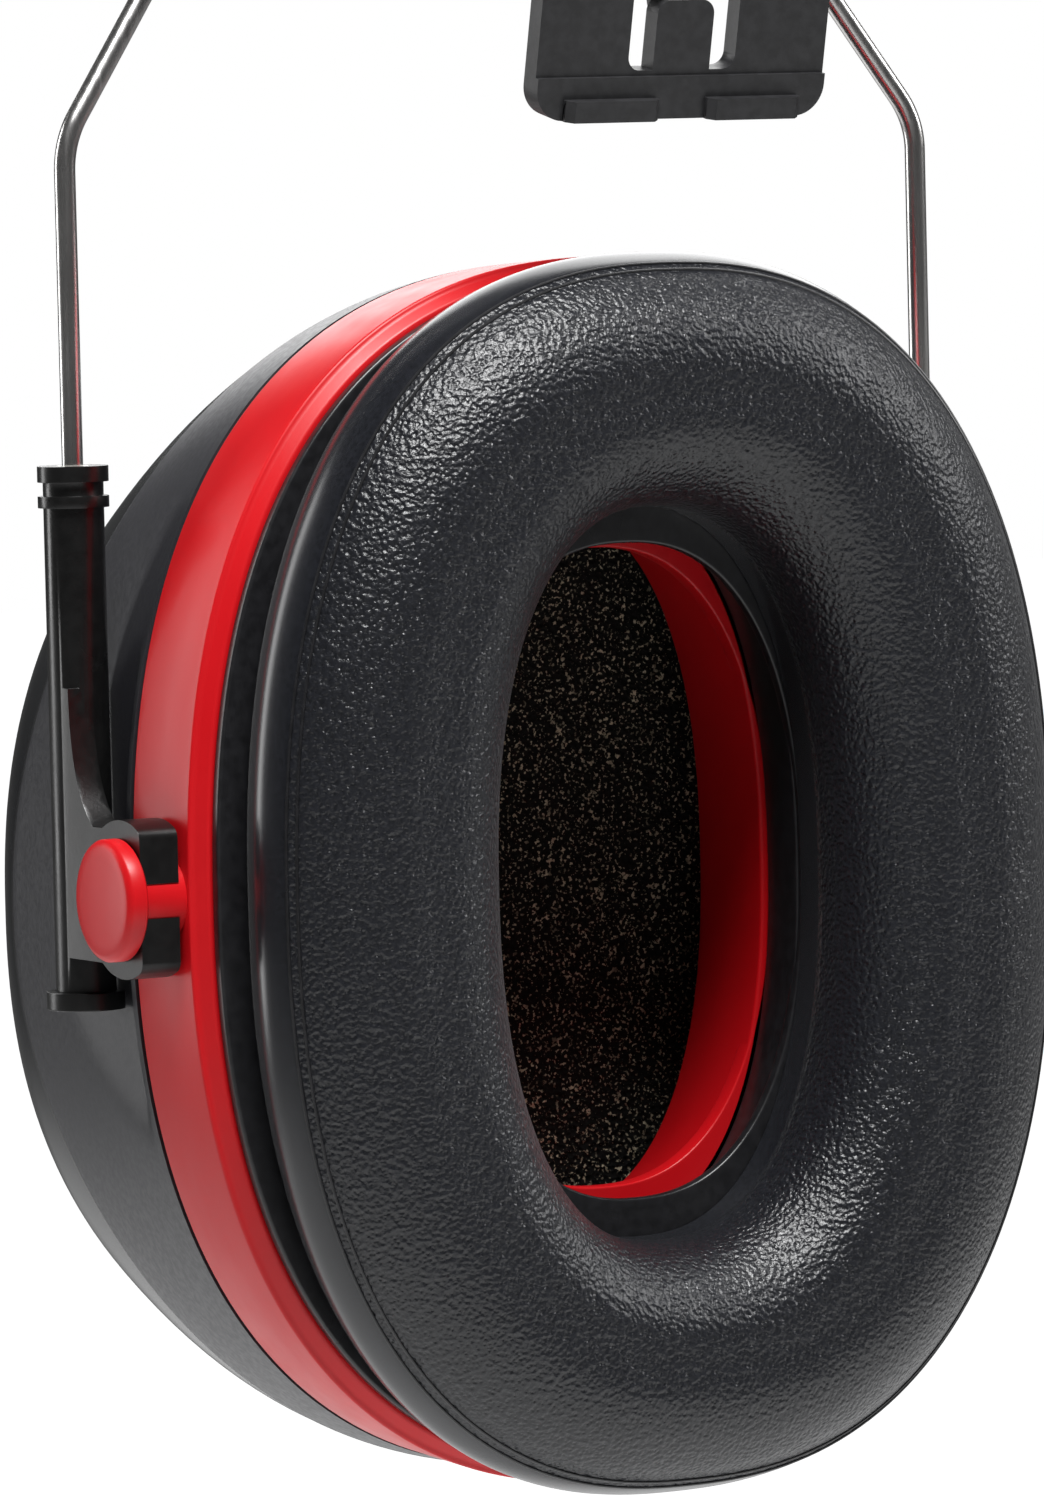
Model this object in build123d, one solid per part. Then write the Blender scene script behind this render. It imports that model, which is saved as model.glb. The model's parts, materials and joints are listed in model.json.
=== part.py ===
"""Helmet-mounted earmuff: one ear cup on a wire fork, with its helmet-slot adapter.

Units are millimetres. +Z is up along the fork legs, +Y points away from the head and
X runs front (-X) to back (+X). The origin lies on the adapter's helmet face.
Cup parts are drawn about the cup centre and adapter parts in the leaning blade frame.
"""
import os
from math import cos, pi, sin

from build123d import *

# Placement of the cup and of the leaning adapter
CUP_Y = 28.4
CUP_Z = -88.6
LEAN = 13.0

# Oval outline shared by the shell, ring and cushion
OVAL_POWER = 2.37
OVAL_POINTS = 32

# Outer shell
SHELL_A = 46.2
SHELL_B = 57.4
SHELL_WALL = 2.2
SHELL_DEPTH = 58.0
WALL_DRAFT = 0.127
WALL_DEPTH = 33.0
DOME_DROOP = 0.11
SEAL_GAP = 0.65
RELIEF_X = 43.6
RELIEF_START_Y = 2.2

# Stud ring
RING_DEPTH = 11.65
RING_FRONT_A = 45.4
RING_FRONT_B = 57.7
RING_WALL = 2.4
RING_BEVEL = 0.8
CAVITY_A = 18.0
CAVITY_B = 34.0
CAVITY_WALL = 2.2
CAVITY_FRONT_Y = -7.0
CAVITY_BACK_Y = 4.5
STUD_Y = -6.0
STUD_R = 4.0
STUD_HEAD_R = 5.7
STUD_HEAD_X = 50.7
STUD_TIP_X = 52.9

# Inner shell and absorbers
INNER_A = 36.0
INNER_B = 47.0
INNER_WALL = 2.0
INNER_BACK_Y = 34.0
INNER_BACK_A = 31.0
INNER_BACK_B = 39.0
FOAM_FRONT_Y = 11.0

# Cushion
BASE_FRONT_Y = -13.1
CUSHION_A = 42.6
CUSHION_B = 58.3
CUSHION_FRONT_Y = -28.0
OPENING_A = 18.6
OPENING_B = 34.6
COVER_SKIN = 1.0

# Fork wire
WIRE_R = 1.0
LEG_X = 47.0
LEG_Y = 8.5
LEG_END_Z = -1.0
BEND_Z = 70.0
BAR_X = 13.5
BEND_R = 9.0
BAR_BEND_R = 4.0
STOP_R = 1.4
STOP_LENGTH = 4.0

# Guides
TUBE_R = 2.85
BEAD_R = 3.35
TUBE_TOP_Z = 39.7
TUBE_FOOT_Z = -9.6
FOOT_Z = -11.3
FOOT_R = 3.75
GUIDE_BORE_R = 1.5
BUSH_LENGTH = 8.0
CLIP_R = 7.4
CLIP_X = 46.6
CLIP_WIDTH = 4.0
CLIP_CUT_Y = -9.8
CLIP_GAP = 3.2
LOBE_R = 1.2
RUN_FIT = 0.05

# Adapter and bracket, in the blade frame (X, N away from the head, W up the blade)
BLADE_WIDTH = 31.0
BLADE_THICK = 2.1
BLADE_LOW = -18.2
BLADE_CORNER_R = 3.0
FOOT_TOP = -14.2
BLADE_HIGH = 14.0
TONGUE_WIDTH = 6.1
TONGUE_SLOT = 2.7
TONGUE_TOP = -7.1
SLOT_LOW = -13.7
SLOT_HIGH = -5.0
PIVOT_W = 19.0
BOSS_R = 14.0
BOSS_N = 9.0
PIN_R = 3.0
PIN_HEAD_R = 5.0
HUB_N = 9.6
HUB_R = 13.0
HUB_END_N = 17.0
ARM_X = 10.5
ARM_LOW = 12.3
ARM_HIGH = 25.7
CAVITY_X = 6.0
CAVITY_N = 20.0
BAR_N = 47.5
BARREL_R = 6.7
CAM_R = 3.5
COVER_THICK = 1.6
SCREW_R = 1.1
SCREW_PLACES = [(-8.2, 22.0), (8.2, 22.0), (-8.2, 40.0), (8.2, 40.0)]

ADAPTER = Rot(LEAN, 0, 0)
CUP = Pos(0, CUP_Y, CUP_Z)
LEAN_RAD = LEAN * pi / 180
BAR_Y = BAR_N * cos(LEAN_RAD) - PIVOT_W * sin(LEAN_RAD)
BAR_Z = BAR_N * sin(LEAN_RAD) + PIVOT_W * cos(LEAN_RAD)


def rod(x, y, z, axis, radius, length):
    """A cylinder that starts at a point and runs along +X, +Y or +Z."""
    turn = {"x": Rot(0, 90, 0), "y": Rot(-90, 0, 0), "z": Rot(0, 0, 0)}[axis]
    bar = Cylinder(radius, length, align=(Align.CENTER, Align.CENTER, Align.MIN))
    return Pos(x, y, z) * turn * bar


def block(low, high):
    """A box between two corners."""
    size = [h - l for l, h in zip(low, high)]
    return Pos(*low) * Box(*size, align=(Align.MIN, Align.MIN, Align.MIN))


def power(value, exponent):
    """A signed power, for the superellipse."""
    return (1 if value >= 0 else -1) * abs(value) ** exponent


def oval(a, b, y, drop=0):
    """A superellipse face of half width a and half height b, across Y, lowered by the drop."""
    points = []
    for step in range(OVAL_POINTS):
        angle = 2 * pi * (step + 0.5) / OVAL_POINTS
        x = a * power(cos(angle), 2 / OVAL_POWER)
        z = b * power(sin(angle), 2 / OVAL_POWER)
        points.append((x, y, z - drop))
    return make_face(Spline(*points, periodic=True))


def oval_body(sections):
    """A solid that runs straight from one oval section (a, b, y, drop) to the next."""
    return loft([oval(*section) for section in sections], ruled=True)


def oval_ring(outer, inner, y_low, y_high):
    """A flat ring between two ovals (a, b)."""
    body = oval_body([(*outer, y_low), (*outer, y_high)])
    return body - oval_body([(*inner, y_low - 1), (*inner, y_high + 1)])


def mirrored(part):
    """The same part on the back side of the cup."""
    return mirror(part, about=Plane.YZ)


# Cup ------------------------------------------------------------------------

def shell_sections(inset):
    """Sections of the shell's outside, moved inwards by the inset."""
    sections = []
    for depth in (SEAL_GAP, 9, 18, 26, WALL_DEPTH, 40, 46, 51, 55, 57.4):
        side = SHELL_A - WALL_DRAFT * depth
        if depth > WALL_DEPTH:
            reach = (depth - WALL_DEPTH) / (SHELL_DEPTH - WALL_DEPTH)
            side = side * (1 - reach ** 2) ** 0.5
        height = SHELL_B * (1 - (depth / SHELL_DEPTH) ** 2.2) ** 0.5
        shrink = (SHELL_DEPTH - inset) / SHELL_DEPTH
        sections.append((side - inset, height - inset, depth * shrink, DOME_DROOP * depth))
    return [section for section in sections if section[0] > 3]


def make_outer_shell():
    """Deep outer shell, with a relief flat on each side for the guide tube."""
    outside = oval_body(shell_sections(0))
    rim = (SHELL_A - SHELL_WALL, SHELL_B - SHELL_WALL, -1)
    inside = oval_body([rim] + shell_sections(SHELL_WALL))
    outside -= relief_blocks(RELIEF_X, RELIEF_START_Y)
    inside -= relief_blocks(RELIEF_X - SHELL_WALL, -2)
    return outside - inside


def relief_blocks(face_x, start_y):
    """Blocks that cut a relief flat on both sides."""
    reach = SHELL_DEPTH + 5
    return [block((face_x, start_y, -40), (face_x + 10, reach, 40)),
            block((-face_x - 10, start_y, -40), (-face_x, reach, 40))]


def make_shell_seal():
    """Thin gasket between the shell's rim and the stud ring."""
    outer = (SHELL_A - 0.4, SHELL_B - 0.4)
    inner = (SHELL_A - 4.8, SHELL_B - 4.8)
    return oval_ring(outer, inner, 0, SEAL_GAP)


def make_stud_ring():
    """Red carrier ring with its web, ear cavity wall and both pivot studs."""
    front = -RING_DEPTH
    band = oval_body([(SHELL_A, SHELL_B, 0),
                      (RING_FRONT_A + 0.1, RING_FRONT_B, front + RING_BEVEL),
                      (RING_FRONT_A - RING_BEVEL, RING_FRONT_B - RING_BEVEL, front)])
    hollow = (RING_FRONT_A - RING_WALL, RING_FRONT_B - RING_WALL)
    band -= oval_body([(*hollow, front - 1), (*hollow, 1)])
    web = oval_ring((hollow[0] + 0.5, hollow[1] + 0.5), (CAVITY_A, CAVITY_B), -7, -5)
    outer = (CAVITY_A + CAVITY_WALL, CAVITY_B + CAVITY_WALL)
    collar = oval_ring(outer, (CAVITY_A, CAVITY_B), CAVITY_FRONT_Y, CAVITY_BACK_Y)
    ring = band + web + collar - screw_shafts()
    for side in (-1, 1):
        shaft_x = 44.2 if side > 0 else -STUD_HEAD_X - 0.5
        ring += rod(shaft_x, STUD_Y, 0, "x", STUD_R, STUD_HEAD_X + 0.5 - 44.2)
        ring += make_stud_head(side)
    return ring


def make_stud_head(side):
    """Round button head with a bevelled edge and a slightly raised middle."""
    thick = STUD_TIP_X - STUD_HEAD_X
    head = Cylinder(STUD_HEAD_R, thick, align=(Align.CENTER, Align.CENTER, Align.MIN))
    rim = head.edges().filter_by(GeomType.CIRCLE).sort_by(Axis.Z)[-1]
    head = chamfer(rim, 0.6)
    return Pos(side * STUD_HEAD_X, STUD_Y, 0) * Rot(0, 90 * side, 0) * head


def make_inner_shell():
    """Inner bowl that hangs from the ring's web."""
    outside = oval_body([(INNER_A, INNER_B, -5), (INNER_BACK_A, INNER_BACK_B, INNER_BACK_Y)])
    back = INNER_BACK_Y - INNER_WALL
    inside = oval_body([(INNER_A - INNER_WALL, INNER_B - INNER_WALL, -6),
                        (INNER_BACK_A - INNER_WALL, INNER_BACK_B - INNER_WALL, back)])
    flange = oval_ring((INNER_A + 5, INNER_B + 5), (INNER_A - 1, INNER_B - 1), -5, -3)
    return outside + flange - inside - screw_shafts()


def screw_shafts():
    """Shafts of the four screws that hold the inner shell's flange to the web."""
    shafts = []
    for x, z in inner_screw_places():
        shafts.append(rod(x, -7, z, "y", 1.2, 4))
    return Part() + shafts


def inner_screw_places():
    """Centres of the four flange screws, on the flange's diagonals."""
    places = []
    for quarter in range(4):
        angle = pi / 4 + quarter * pi / 2
        x = (INNER_A + 2.4) * power(cos(angle), 2 / OVAL_POWER)
        z = (INNER_B + 2.4) * power(sin(angle), 2 / OVAL_POWER)
        places.append((x, z))
    return places


def make_shell_screws():
    """Four screws with flat heads on the flange's outboard side."""
    solids = []
    for x, z in inner_screw_places():
        solids.append(rod(x, -7, z, "y", 1.2, 4) + rod(x, -3, z, "y", 2.2, 1.4))
    return solids


def make_inner_absorber():
    """Foam block that fills the back of the inner shell."""
    taper = (FOAM_FRONT_Y + 5) / (INNER_BACK_Y + 5)
    shrink = INNER_WALL + 0.4
    front_a = INNER_A + (INNER_BACK_A - INNER_A) * taper - shrink
    front_b = INNER_B + (INNER_BACK_B - INNER_B) * taper - shrink
    return oval_body([(front_a, front_b, FOAM_FRONT_Y),
                      (INNER_BACK_A - shrink, INNER_BACK_B - shrink, INNER_BACK_Y - INNER_WALL)])


def make_outer_absorber():
    """Foam bowl between the two shells."""
    body = oval_body(shell_sections(SHELL_WALL + 0.6))
    width = 2 * (RELIEF_X - SHELL_WALL - 0.6)
    body &= Pos(0, 4 + SHELL_DEPTH / 2, 0) * Box(width, SHELL_DEPTH, 3 * SHELL_B)
    hollow = oval_body([(INNER_A - 0.4, INNER_B - 0.6, 3),
                        (INNER_BACK_A + 0.4, INNER_BACK_B + 0.4, INNER_BACK_Y + 0.2)])
    return body - hollow


def make_cushion_base():
    """Plate that carries the cushion and snaps inside the stud ring."""
    plate = oval_ring((44.2, 56.4), (OPENING_A, OPENING_B), BASE_FRONT_Y, -RING_DEPTH - 0.05)
    rim = (RING_FRONT_A - RING_WALL - 0.3, RING_FRONT_B - RING_WALL - 0.3)
    snap = oval_ring(rim, (rim[0] - 1.6, rim[1] - 1.6), BASE_FRONT_Y + 0.5, -8.5)
    sleeve = (OPENING_A + 1.6, OPENING_B + 1.6)
    liner = oval_ring(sleeve, (OPENING_A, OPENING_B), BASE_FRONT_Y + 0.5, CAVITY_FRONT_Y - 0.1)
    return plate + snap + liner


def cushion_body(inset):
    """Plush ring, moved inwards by the inset."""
    outside = [(CUSHION_A - 1.4, CUSHION_B - 1.4, BASE_FRONT_Y), (CUSHION_A, CUSHION_B, -17),
               (CUSHION_A - 1.2, CUSHION_B - 1.0, -22), (CUSHION_A - 4.5, CUSHION_B - 4.5, -26),
               (CUSHION_A - 9.5, CUSHION_B - 9.0, CUSHION_FRONT_Y)]
    hole = [(OPENING_A, OPENING_B, BASE_FRONT_Y), (OPENING_A, OPENING_B, -24),
            (OPENING_A + 2, OPENING_B + 2, -26.6), (OPENING_A + 6, OPENING_B + 5.5, CUSHION_FRONT_Y)]
    middle = 0.5 * (BASE_FRONT_Y + CUSHION_FRONT_Y)
    shrink = 1 - 2 * inset / (BASE_FRONT_Y - CUSHION_FRONT_Y)
    outside = [(a - inset, b - inset, middle + (y - middle) * shrink) for a, b, y in outside]
    hole = [(a + inset, b + inset, middle + (y - middle) * shrink) for a, b, y in hole]
    return oval_body(outside) - oval_body(hole)


# Guides and fork ------------------------------------------------------------

def make_guide():
    """Front wire guide: tube with end beads, web, and the C-clip round the stud."""
    tube = rod(-LEG_X, LEG_Y, TUBE_FOOT_Z, "z", TUBE_R, TUBE_TOP_Z - TUBE_FOOT_Z)
    tube += rod(-LEG_X, LEG_Y, TUBE_TOP_Z - 1.5, "z", BEAD_R, 1.5)
    tube += rod(-LEG_X, LEG_Y, TUBE_TOP_Z - 3.9, "z", BEAD_R, 1.1)
    clip = rod(-CLIP_X - CLIP_WIDTH, STUD_Y, 0, "x", CLIP_R, CLIP_WIDTH)
    web = block((-49.5, STUD_Y + 5, -6.3), (-46.9, LEG_Y, 6.3))
    curve = Spline((STUD_Y + 5, 5), (LEG_Y - 4.9, 8.6), (LEG_Y - 3.1, 13.5), (LEG_Y - 2.6, 19))
    fairing = make_face([curve, Polyline((LEG_Y - 2.6, 19), (LEG_Y, 19), (LEG_Y, 5), (STUD_Y + 5, 5))])
    gusset = extrude(Plane.YZ * fairing, 2.6)
    guide = tube + clip + web + Pos(-49.5, 0, 0) * gusset
    left = -CLIP_X - CLIP_WIDTH - 1
    guide -= rod(left, STUD_Y, 0, "x", STUD_R + RUN_FIT, CLIP_WIDTH + 2)
    guide -= block((left, STUD_Y - 12, -CLIP_GAP / 2), (-CLIP_X + 1, STUD_Y, CLIP_GAP / 2))
    guide -= block((left, STUD_Y - 12, -12), (-CLIP_X + 1, CLIP_CUT_Y, 12))
    at_cut = guide.edges().filter_by(Axis.X).filter_by_position(Axis.Y, CLIP_CUT_Y - 0.01, CLIP_CUT_Y + 0.01)
    lobes = at_cut.sort_by(Axis.Z)
    guide = fillet([lobes[0], lobes[-1]], LOBE_R)
    return guide - rod(-LEG_X, LEG_Y, TUBE_FOOT_Z - 1, "z", GUIDE_BORE_R, 60)


def make_guide_plug():
    """Foot flange and plug that close the tube's lower end."""
    plug = rod(-LEG_X, LEG_Y, FOOT_Z, "z", FOOT_R, TUBE_FOOT_Z - FOOT_Z)
    plug += rod(-LEG_X, LEG_Y, TUBE_FOOT_Z - 0.5, "z", GUIDE_BORE_R, 1.3)
    flat_x = LEG_X - TUBE_R
    return plug - block((-flat_x, 0, FOOT_Z - 1), (-flat_x + 5, 20, TUBE_FOOT_Z + 2))


def make_guide_bush():
    """Sliding bush in the tube's mouth that keeps the wire and its stop in."""
    low = TUBE_TOP_Z - BUSH_LENGTH
    bush = rod(-LEG_X, LEG_Y, low, "z", GUIDE_BORE_R, BUSH_LENGTH)
    return bush - rod(-LEG_X, LEG_Y, low - 1, "z", WIRE_R + RUN_FIT, BUSH_LENGTH + 2)


def make_end_stop():
    """Sleeve swaged on the wire's lower end."""
    sleeve = rod(-LEG_X, LEG_Y, LEG_END_Z, "z", STOP_R, STOP_LENGTH)
    return sleeve - rod(-LEG_X, LEG_Y, LEG_END_Z - 1, "z", WIRE_R, STOP_LENGTH + 2)


def make_fork_wire():
    """Steel wire fork: two legs, two slanted runs and the hinge bar."""
    leg_y = CUP_Y + LEG_Y
    route = [(-LEG_X, leg_y, CUP_Z + LEG_END_Z), (-LEG_X, leg_y, CUP_Z + BEND_Z), (-BAR_X, BAR_Y, BAR_Z),
             (BAR_X, BAR_Y, BAR_Z), (LEG_X, leg_y, CUP_Z + BEND_Z), (LEG_X, leg_y, CUP_Z + LEG_END_Z)]
    path = FilletPolyline(*route, radius=[BEND_R, BAR_BEND_R, BAR_BEND_R, BEND_R])
    section = Pos(*route[0]) * Circle(WIRE_R)
    return sweep(section, path=path, transition=Transition.RIGHT)


def make_cam_sleeve():
    """Sleeve on the hinge bar with a flat for the detent spring."""
    sleeve = rod(-4.5, BAR_N, PIVOT_W, "x", CAM_R, 9)
    sleeve -= rod(-5.5, BAR_N, PIVOT_W, "x", WIRE_R, 11)
    return sleeve - block((-5, BAR_N - 5, PIVOT_W + 2.9), (5, BAR_N + 5, PIVOT_W + 5))


# Adapter and bracket --------------------------------------------------------

def make_adapter_blade():
    """Helmet-slot blade with its latch tongue, lipped foot and pivot boss."""
    half = BLADE_WIDTH / 2
    blade = block((-half, 0, BLADE_LOW), (half, BLADE_THICK, BLADE_HIGH))
    blade += block((-half, -0.5, BLADE_LOW), (half, BLADE_THICK, FOOT_TOP))
    corners = blade.edges().filter_by(Axis.Y).group_by(Axis.Z)[0]
    blade = fillet(corners, BLADE_CORNER_R)
    for side in (-1, 1):
        inner = 2.6 * side
        outer = 12.6 * side
        lip = block((min(inner, outer), -1.7, BLADE_LOW), (max(inner, outer), 0.5, BLADE_LOW + 2))
        blade += chamfer(lip.edges().filter_by(Axis.Z).group_by(Axis.Y)[0], 0.7)
    blade += block((-half + 2, 0, 4), (half - 2, 6, BLADE_HIGH))
    blade += rod(0, 0, PIVOT_W, "y", BOSS_R, BOSS_N)
    blade -= tongue_slot()
    barb = Polygon((BLADE_THICK, -9.6), (BLADE_THICK + 1.3, TONGUE_TOP), (BLADE_THICK, TONGUE_TOP),
                   align=None)
    blade += Pos(-TONGUE_WIDTH / 2 + 0.5, 0, 0) * extrude(Plane.YZ * barb, TONGUE_WIDTH - 1)
    blade -= rod(0, -1, PIVOT_W, "y", PIN_HEAD_R + 0.2, 4.2)
    return blade - rod(0, -1, PIVOT_W, "y", PIN_R + 0.01, 12)


def tongue_slot():
    """The inverted-U slot that frees the latch tongue, with rounded ends."""
    width = TONGUE_WIDTH + 2 * TONGUE_SLOT
    around = Pos(0, (SLOT_LOW + SLOT_HIGH) / 2) * RectangleRounded(width, SLOT_HIGH - SLOT_LOW, 1.3)
    tongue = Pos(0, TONGUE_TOP - 5.5) * RectangleRounded(TONGUE_WIDTH, 11, 1.4)
    return Pos(0, -2, 0) * extrude(Plane.XZ * (around - tongue), -6)


def make_swivel_pin():
    """Headed pin that carries the bracket, with a groove for its retaining ring."""
    pin = rod(0, 1.0, PIVOT_W, "y", PIN_HEAD_R, 2.2) + rod(0, 1.0, PIVOT_W, "y", PIN_R, 21.5)
    groove = rod(0, 20.2, PIVOT_W, "y", PIN_R + 1, 1.0) - rod(0, 20.0, PIVOT_W, "y", 2.4, 1.4)
    return pin - groove


def make_retaining_ring():
    """Open ring that snaps in the pin's groove."""
    ring = rod(0, 20.2, PIVOT_W, "y", 4.5, 1.0) - rod(0, 20.0, PIVOT_W, "y", 2.4, 1.4)
    return ring - block((-1.5, 20, PIVOT_W - 6), (1.5, 21.4, PIVOT_W))


def make_spring_washer():
    """Washer that gives the swivel its friction."""
    return rod(0, BOSS_N, PIVOT_W, "y", 8, 0.5) - rod(0, BOSS_N - 1, PIVOT_W, "y", PIN_R + 0.2, 3)


def make_bracket_body():
    """Hollow arm from the swivel hub to the barrel that holds the hinge bar."""
    body = rod(0, HUB_N, PIVOT_W, "y", HUB_R, HUB_END_N - HUB_N)
    body += block((-ARM_X, HUB_END_N - 1, ARM_LOW), (ARM_X, BAR_N, ARM_HIGH))
    body += rod(-ARM_X, BAR_N, PIVOT_W, "x", BARREL_R, 2 * ARM_X)
    body -= block((-CAVITY_X, CAVITY_N, ARM_LOW + 1.7), (CAVITY_X, BAR_N - 4, ARM_HIGH + 1))
    body -= rod(-5, BAR_N, PIVOT_W, "x", CAM_R + 0.8, 10)
    body -= block((-5, BAR_N - 5, PIVOT_W), (5, BAR_N + 4.3, ARM_HIGH + 1))
    body -= rod(0, HUB_N - 1, PIVOT_W, "y", PIN_R + RUN_FIT, 14)
    for x, n in SCREW_PLACES:
        body -= rod(x, n, ARM_HIGH - 7, "z", SCREW_R, 9)
    return body - rod(-ARM_X - 1, BAR_N, PIVOT_W, "x", WIRE_R + RUN_FIT, 2 * ARM_X + 2)


def make_bracket_cover():
    """Lid over the arm's spring chamber."""
    cover = block((-ARM_X, 18, ARM_HIGH), (ARM_X, BAR_N + 4.5, ARM_HIGH + COVER_THICK))
    cover = fillet(cover.edges().filter_by(Axis.Z), 2)
    for x, n in SCREW_PLACES:
        cover -= rod(x, n, ARM_HIGH - 1, "z", SCREW_R, 4)
    return cover


def make_cover_screws():
    """Four pan-head screws."""
    solids = []
    for x, n in SCREW_PLACES:
        head = rod(x, n, ARM_HIGH + COVER_THICK, "z", 2.0, 1.3)
        slot = block((x - 1.4, n - 0.3, ARM_HIGH + COVER_THICK + 0.7), (x + 1.4, n + 0.3, ARM_HIGH + 4))
        solids.append(head - slot + rod(x, n, ARM_HIGH - 7, "z", SCREW_R, 7 + COVER_THICK))
    return solids


def make_detent_spring():
    """Leaf spring that lies over the cam sleeve."""
    low = PIVOT_W + CAM_R + 0.1
    leaf = block((-4.5, 26, low), (4.5, BAR_N + 3.5, low + 0.5))
    foot = block((-4.5, 26, low), (4.5, 26.5, ARM_HIGH))
    return leaf + foot


def write(name, solids, place):
    """Put a part in place and write its file."""
    shape = Compound(children=[place * s for s in solids]) if isinstance(solids, list) else place * solids
    export_step(shape, f"parts/{name}.step")


def main():
    os.makedirs("parts", exist_ok=True)
    cup_parts = {
        "outer_shell": make_outer_shell(),
        "shell_seal": make_shell_seal(),
        "stud_ring": make_stud_ring(),
        "inner_shell": make_inner_shell(),
        "shell_screws": make_shell_screws(),
        "inner_absorber": make_inner_absorber(),
        "outer_absorber": make_outer_absorber(),
        "cushion_base": make_cushion_base(),
        "cushion_cover": cushion_body(0) - cushion_body(COVER_SKIN),
        "cushion_foam": cushion_body(COVER_SKIN),
    }
    side_parts = {
        "guide": make_guide(),
        "guide_plug": make_guide_plug(),
        "guide_bush": make_guide_bush(),
        "end_stop": make_end_stop(),
    }
    adapter_parts = {
        "adapter_blade": make_adapter_blade(),
        "swivel_pin": make_swivel_pin(),
        "retaining_ring": make_retaining_ring(),
        "spring_washer": make_spring_washer(),
        "bracket_body": make_bracket_body(),
        "bracket_cover": make_bracket_cover(),
        "cover_screws": make_cover_screws(),
        "detent_spring": make_detent_spring(),
        "cam_sleeve": make_cam_sleeve(),
    }
    for name, solids in cup_parts.items():
        write(name, solids, CUP)
    for name, solid in side_parts.items():
        write("front_" + name, solid, CUP)
        write("rear_" + name, mirrored(solid), CUP)
    for name, solids in adapter_parts.items():
        write(name, solids, ADAPTER)
    write("fork_wire", make_fork_wire(), Pos(0, 0, 0))


main()
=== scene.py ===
"""Looks of the helmet-mounted earmuff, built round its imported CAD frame.

All lengths are metres unless a name says mm. +Y points away from the wearer's head.
"""

import json
import math

import bmesh
import bpy
from mathutils import Matrix, Vector
from mathutils.bvhtree import BVHTree
from mathutils.kdtree import KDTree

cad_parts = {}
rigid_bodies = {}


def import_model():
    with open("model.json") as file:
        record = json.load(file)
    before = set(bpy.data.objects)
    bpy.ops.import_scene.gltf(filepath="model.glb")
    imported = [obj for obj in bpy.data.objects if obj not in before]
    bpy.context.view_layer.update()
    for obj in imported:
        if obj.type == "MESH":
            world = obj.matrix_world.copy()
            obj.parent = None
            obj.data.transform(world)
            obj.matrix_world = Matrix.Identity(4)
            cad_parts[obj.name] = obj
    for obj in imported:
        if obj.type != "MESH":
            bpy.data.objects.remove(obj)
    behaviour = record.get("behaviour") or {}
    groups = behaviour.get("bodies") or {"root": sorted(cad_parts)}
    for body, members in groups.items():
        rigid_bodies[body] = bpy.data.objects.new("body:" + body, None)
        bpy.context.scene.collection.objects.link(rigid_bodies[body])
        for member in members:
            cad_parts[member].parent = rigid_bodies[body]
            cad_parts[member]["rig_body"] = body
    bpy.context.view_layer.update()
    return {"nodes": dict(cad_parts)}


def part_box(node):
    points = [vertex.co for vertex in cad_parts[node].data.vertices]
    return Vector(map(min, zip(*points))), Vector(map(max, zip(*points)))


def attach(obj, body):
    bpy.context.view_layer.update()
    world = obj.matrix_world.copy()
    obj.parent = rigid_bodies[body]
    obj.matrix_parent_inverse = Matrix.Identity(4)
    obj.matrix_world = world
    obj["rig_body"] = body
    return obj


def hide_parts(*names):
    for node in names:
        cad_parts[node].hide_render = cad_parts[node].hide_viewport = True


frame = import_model()
MM = 0.001

# Sizes read from the frame
SEAL_LOW, SEAL_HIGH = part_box("shell_seal")
COVER_LOW, COVER_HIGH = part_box("cushion_cover")
FOAM_LOW, FOAM_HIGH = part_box("inner_absorber")
RIM_Y = SEAL_LOW.y
CUP_Z = 0.5 * (SEAL_LOW.z + SEAL_HIGH.z)
SHELL_A = SEAL_HIGH.x + 0.4 * MM
SHELL_B = 0.5 * (SEAL_HIGH.z - SEAL_LOW.z) + 0.4 * MM
SHELL_DEPTH = 58.0 * MM
WALL_DEPTH = 33.0 * MM
WALL_DRAFT = 0.127
DOME_DROOP = 0.11
RELIEF_X = 43.6 * MM
RELIEF_START = 2.2 * MM

OVAL_POWER = 2.37
OVAL_COUNT = 224
RING_DEPTH = 11.65 * MM
RING_B = 57.7 * MM
CAVITY_A = 18.0 * MM
CAVITY_B = 34.0 * MM
STUD_Y = RIM_Y - 6.0 * MM
OPENING_A = 18.6 * MM
OPENING_B = 34.6 * MM
CUSHION_A = COVER_HIGH.x
CUSHION_B = 0.5 * (COVER_HIGH.z - COVER_LOW.z)
SHARP_ANGLE = math.radians(32)
SOFT_ANGLE = math.radians(40)

# Sizes of the ring, base plate, seams and wire that the frame's boxes don't give
RING_INSET = 3.0 * MM
WEB_A = 43.2 * MM
WEB_B = 54.9 * MM
WEB_REACH = 24.5 * MM
COLLAR_WALL = 2.2 * MM
COLLAR_FRONT = -7 * MM
COLLAR_BACK = 4.5 * MM
STUD_ROOT_X = 44.0 * MM
PLATE_A = 44.2 * MM
PLATE_B = 56.4 * MM
PLATE_REACH = 25.4 * MM
PLATE_BACK = -11.75 * MM
PLATE_FRONT = -13.0 * MM
SLEEVE_WALL = 1.6 * MM
SLEEVE_FRONT = -12.5 * MM
SLEEVE_BACK = -7.1 * MM
CUSHION_PRESSURE = 3.0
CUSHION_SWELL = 1.0 * MM
SEAM_RADIUS = 0.16 * MM
WIRE_R = 1.0 * MM
LEG_DEPTH = 8.5 * MM
BEND_HEIGHT = 70.0 * MM
BAR_X = 13.5 * MM
BEND_R = 9.0 * MM
BAR_BEND_R = 4.0 * MM


# Mesh helpers ---------------------------------------------------------------

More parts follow.
